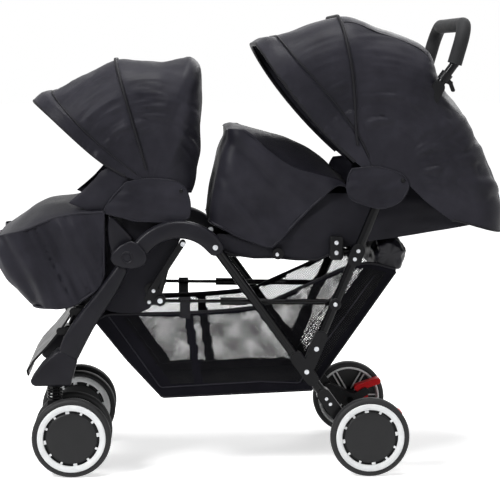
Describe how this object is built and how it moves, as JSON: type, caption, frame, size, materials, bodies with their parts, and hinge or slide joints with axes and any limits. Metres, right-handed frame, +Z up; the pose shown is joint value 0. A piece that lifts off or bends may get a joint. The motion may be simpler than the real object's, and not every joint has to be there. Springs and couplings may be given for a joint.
{
  "type": "tandem stroller",
  "caption": "Folding tandem stroller with inline seats, cloth hoods and leg covers, mesh basket, twin front casters and a foam-covered push bar.",
  "frame": {"origin": "middle of the bounding box on the floor under the wheels", "axes": "+X towards the push bar at the rear, +Y towards the side away from the camera in the picture, +Z up"},
  "size_m": [1.1878, 0.53, 1.0409],
  "materials": {
    "plastic": "satin",
    "tube": "gloss",
    "foam": "matte",
    "cloth": "satin weave",
    "zinc": "bright",
    "tyre": "matte",
    "rim": "satin",
    "brake": "satin"
  },
  "bodies": {
    "front_frame": {"front_leg_left": "plastic", "front_leg_right": "plastic", "arm_left": "plastic", "arm_right": "plastic", "elbow_covers": "plastic", "bumper_bar": "foam", "step_plate": "plastic", "front_seat_tubes": "tube", "seat_brackets": "plastic", "front_seat_cushion": "cloth", "front_apron": "cloth", "front_hood_frame": "tube", "front_canopy": "cloth", "basket": "cloth", "front_screws": "zinc"},
    "front_hood_mid": {"front_hood_mid_bow": "tube"},
    "front_hood_front": {"front_hood_front_bow": "tube"},
    "front_back": {"front_backrest": "cloth"},
    "rail_rod_pair": {"rail_rods": "tube"},
    "rail_sleeve_pair": {"rail_sleeves": "tube"},
    "rear_frame": {"rear_leg_left": "tube", "rear_leg_right": "tube", "y_brackets": "plastic", "handle_tube_left": "tube", "handle_tube_right": "tube", "handle_clamps": "plastic", "handle_bar": "tube", "handle_grip": "foam", "axle_housings": "plastic", "rear_axle": "tube", "rear_seat_frame": "tube", "rear_seat_cushion": "cloth", "rear_apron": "cloth", "rear_hood_frame": "tube", "rear_canopy": "cloth", "rear_curtain": "cloth", "rear_screws": "zinc"},
    "rear_hood_mid": {"rear_hood_mid_bow": "tube"},
    "rear_hood_front": {"rear_hood_front_bow": "tube"},
    "rear_back": {"rear_backrest": "cloth"},
    "caster_left": {"caster_fork_left": "plastic", "caster_spring_left": "tube"},
    "front_wheel_left_outer_body": {"front_tyre_left_outer": "tyre", "front_wheel_left_outer": "rim"},
    "front_wheel_left_inner_body": {"front_tyre_left_inner": "tyre", "front_wheel_left_inner": "rim"},
    "rear_wheel_left_body": {"rear_tyre_left": "tyre", "rear_wheel_left": "rim"},
    "trigger_left": {"fold_trigger_left": "plastic"},
    "brake_left": {"brake_pedal_left": "brake"},
    "caster_right": {"caster_fork_right": "plastic", "caster_spring_right": "tube"},
    "front_wheel_right_outer_body": {"front_tyre_right_outer": "tyre", "front_wheel_right_outer": "rim"},
    "front_wheel_right_inner_body": {"front_tyre_right_inner": "tyre", "front_wheel_right_inner": "rim"},
    "rear_wheel_right_body": {"rear_tyre_right": "tyre", "rear_wheel_right": "rim"},
    "trigger_right": {"fold_trigger_right": "plastic"},
    "brake_right": {"brake_pedal_right": "brake"}
  },
  "joints": [
    {"name": "frame_fold", "type": "hinge", "parent": "front_frame", "child": "rear_frame", "pos_m": [-0.09, 0, 0.522], "axis": [0, 1, 0], "range_deg": [0, 42], "deforming": ["basket"]},
    {"name": "rail_turn", "type": "hinge", "parent": "front_frame", "child": "rail_rod_pair", "pos_m": [-0.215, 0, 0.396], "axis": [0, 1, 0], "range_deg": [0, 33]},
    {"name": "rail_slide", "type": "slide", "parent": "rail_rod_pair", "child": "rail_sleeve_pair", "axis": [-0.9999, 0, 0.0144], "range_m": [0, 0.114]},
    {"name": "front_hood_fold", "type": "hinge", "parent": "front_frame", "child": "front_hood_mid", "pos_m": [-0.235, 0, 0.664], "axis": [0, 1, 0], "range_deg": [0, 30], "deforming": ["front_canopy"]},
    {"name": "front_hood_rim", "type": "hinge", "parent": "front_hood_mid", "child": "front_hood_front", "pos_m": [-0.235, 0, 0.664], "axis": [0, 1, 0], "range_deg": [0, 37]},
    {"name": "rear_hood_fold", "type": "hinge", "parent": "rear_frame", "child": "rear_hood_mid", "pos_m": [0.27, 0, 0.677], "axis": [0, 1, 0], "range_deg": [0, 27], "deforming": ["rear_canopy"]},
    {"name": "rear_hood_rim", "type": "hinge", "parent": "rear_hood_mid", "child": "rear_hood_front", "pos_m": [0.27, 0, 0.677], "axis": [0, 1, 0], "range_deg": [0, 27]},
    {"name": "front_recline", "type": "hinge", "parent": "front_frame", "child": "front_back", "pos_m": [-0.234, 0, 0.426], "axis": [0, -1, 0], "range_deg": [0, 10]},
    {"name": "rear_recline", "type": "hinge", "parent": "rear_frame", "child": "rear_back", "pos_m": [0.1995, 0, 0.53], "axis": [0, -1, 0], "range_deg": [0, 55], "deforming": ["rear_curtain"]},
    {"name": "caster_left_swivel", "type": "hinge", "parent": "front_frame", "child": "caster_left", "pos_m": [-0.456, -0.185, 0.207], "axis": [0, 0, 1], "continuous": true},
    {"name": "front_wheel_left_outer_spin", "type": "hinge", "parent": "caster_left", "child": "front_wheel_left_outer_body", "pos_m": [-0.417, -0.23, 0.09], "axis": [0, 1, 0], "continuous": true},
    {"name": "front_wheel_left_inner_spin", "type": "hinge", "parent": "caster_left", "child": "front_wheel_left_inner_body", "pos_m": [-0.417, -0.14, 0.09], "axis": [0, 1, 0], "continuous": true},
    {"name": "rear_wheel_left_spin", "type": "hinge", "parent": "rear_frame", "child": "rear_wheel_left_body", "pos_m": [0.26, -0.248, 0.09], "axis": [0, 1, 0], "continuous": true},
    {"name": "trigger_left_pull", "type": "slide", "parent": "rear_frame", "child": "trigger_left", "axis": [0.5878, 0, 0.809], "range_m": [0, 0.014], "stiffness_N_per_m": 300},
    {"name": "brake_left_press", "type": "hinge", "parent": "rear_frame", "child": "brake_left", "pos_m": [0.297, -0.21, 0.112], "axis": [0, 1, 0], "range_deg": [0, 25]},
    {"name": "caster_right_swivel", "type": "hinge", "parent": "front_frame", "child": "caster_right", "pos_m": [-0.456, 0.185, 0.207], "axis": [0, 0, 1], "continuous": true},
    {"name": "front_wheel_right_outer_spin", "type": "hinge", "parent": "caster_right", "child": "front_wheel_right_outer_body", "pos_m": [-0.417, 0.23, 0.09], "axis": [0, 1, 0], "continuous": true},
    {"name": "front_wheel_right_inner_spin", "type": "hinge", "parent": "caster_right", "child": "front_wheel_right_inner_body", "pos_m": [-0.417, 0.14, 0.09], "axis": [0, 1, 0], "continuous": true},
    {"name": "rear_wheel_right_spin", "type": "hinge", "parent": "rear_frame", "child": "rear_wheel_right_body", "pos_m": [0.26, 0.248, 0.09], "axis": [0, 1, 0], "continuous": true},
    {"name": "trigger_right_pull", "type": "slide", "parent": "rear_frame", "child": "trigger_right", "axis": [0.5878, 0, 0.809], "range_m": [0, 0.014], "stiffness_N_per_m": 300},
    {"name": "brake_right_press", "type": "hinge", "parent": "rear_frame", "child": "brake_right", "pos_m": [0.297, 0.21, 0.112], "axis": [0, 1, 0], "range_deg": [0, 25]}
  ],
  "couplings": [
    {"joint": "rail_turn", "follows": "frame_fold", "ratio": 0.7608},
    {"joint": "rail_slide", "follows": "frame_fold", "m_per_rad": 0.15386},
    {"joint": "front_hood_rim", "follows": "front_hood_fold", "ratio": 1.23},
    {"joint": "rear_hood_rim", "follows": "rear_hood_fold", "ratio": 1}
  ]
}
